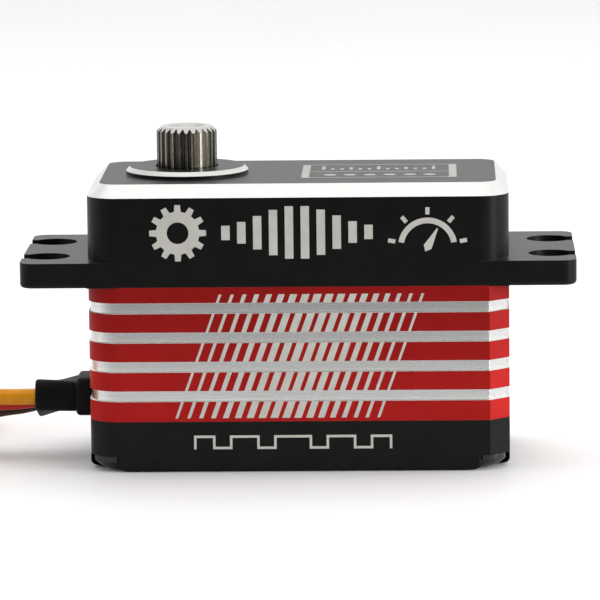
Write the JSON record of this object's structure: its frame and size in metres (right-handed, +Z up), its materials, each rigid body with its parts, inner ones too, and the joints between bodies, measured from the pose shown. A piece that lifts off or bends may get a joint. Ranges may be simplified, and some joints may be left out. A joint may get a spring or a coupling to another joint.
{
  "type": "servo motor",
  "caption": "Low-profile digital servo with a finned aluminium case, keyhole mounting ears, a splined output shaft, its gear train and motor, and a ribbon lead with a plug.",
  "frame": {"origin": "centre of the case's bottom face", "axes": "+Z up along the output shaft, +X from the output end to the motor end, +Y from the printed front face to the back"},
  "size_m": [0.0869, 0.034, 0.0327],
  "materials": {
    "black_anodised": "black anodised, bevel cut bright",
    "red_anodised": "red anodised, grooves cut bright",
    "black_steel": "black oxide steel",
    "gear_steel": "hardened steel, lightly oiled",
    "seal_rubber": "matt",
    "bearing_steel": "polished",
    "brass": "machined",
    "pin_steel": "ground",
    "motor_aluminium": "turned",
    "moulded_plastic": "moulded",
    "lamination_steel": "stacked sheet",
    "copper": "enamelled copper wire",
    "magnet": "nickel plated",
    "carbon_track": "printed carbon",
    "wiper_plastic": "moulded",
    "gold_plate": "plated",
    "board": "solder mask",
    "chip_plastic": "moulded",
    "capacitor": "moulded",
    "orange_insulation": "soft silicone",
    "red_insulation": "soft silicone",
    "brown_insulation": "soft silicone",
    "plug_plastic": "moulded"
  },
  "bodies": {
    "case": {"top_case": "black_anodised", "middle_case": "red_anodised", "bottom_cover": "black_anodised", "case_screws": "black_steel", "shaft_seal": "seal_rubber", "output_bearing_outer": "bearing_steel", "output_bearing_balls": "bearing_steel", "lower_bearing_outer": "bearing_steel", "lower_bearing_balls": "bearing_steel", "idler_pin": "pin_steel", "motor_can": "motor_aluminium", "motor_end_cap": "moulded_plastic", "motor_screws": "black_steel", "stator_core": "lamination_steel", "stator_windings": "copper", "motor_bearing_outers": "bearing_steel", "motor_bearing_balls": "bearing_steel", "sensor_housing": "moulded_plastic", "sensor_track": "carbon_track", "sensor_leads": "gold_plate", "circuit_board": "board", "controller_chip": "chip_plastic", "power_transistors": "chip_plastic", "capacitors": "capacitor", "motor_leads": "copper", "cable_grommet": "seal_rubber", "signal_wire": "orange_insulation", "power_wire": "red_insulation", "ground_wire": "brown_insulation", "plug_housing": "plug_plastic", "plug_contacts": "gold_plate"},
    "output": {"output_shaft": "gear_steel", "output_bearing_inner": "bearing_steel", "lower_bearing_inner": "bearing_steel", "sensor_wiper": "wiper_plastic"},
    "third_gear": {"third_gear_wheel": "brass", "third_gear_pinion": "gear_steel"},
    "second_gear": {"second_gear_wheel": "brass", "second_gear_pinion": "gear_steel"},
    "first_gear": {"first_gear_wheel": "brass", "first_gear_pinion": "gear_steel"},
    "rotor": {"motor_pinion": "brass", "motor_shaft": "pin_steel", "rotor_magnet": "magnet", "motor_bearing_inners": "bearing_steel"}
  },
  "joints": [
    {"name": "output_spin", "type": "hinge", "parent": "case", "child": "output", "pos_m": [-0.011, 0, 0.0219], "axis": [0, 0, 1], "range_deg": [-90, 90]},
    {"name": "third_gear_spin", "type": "hinge", "parent": "case", "child": "third_gear", "pos_m": [-0.0005, 0, 0.0201], "axis": [0, 0, 1], "range_deg": [-225.03, 225.03]},
    {"name": "second_gear_spin", "type": "hinge", "parent": "case", "child": "second_gear", "pos_m": [-0.011, 0, 0.0186], "axis": [0, 0, 1], "range_deg": [-739.37, 739.37]},
    {"name": "first_gear_spin", "type": "hinge", "parent": "case", "child": "first_gear", "pos_m": [-0.0005, 0, 0.0172], "axis": [0, 0, 1], "range_deg": [-2135.95, 2135.95]},
    {"name": "rotor_spin", "type": "hinge", "parent": "case", "child": "rotor", "pos_m": [0.0088, 0, 0.0171], "axis": [0, 0, 1], "range_deg": [-11106.95, 11106.95]}
  ],
  "couplings": [
    {"joint": "third_gear_spin", "follows": "output_spin", "ratio": -2.5},
    {"joint": "second_gear_spin", "follows": "output_spin", "ratio": 8.2143},
    {"joint": "first_gear_spin", "follows": "output_spin", "ratio": -23.73},
    {"joint": "rotor_spin", "follows": "output_spin", "ratio": 123.4}
  ]
}
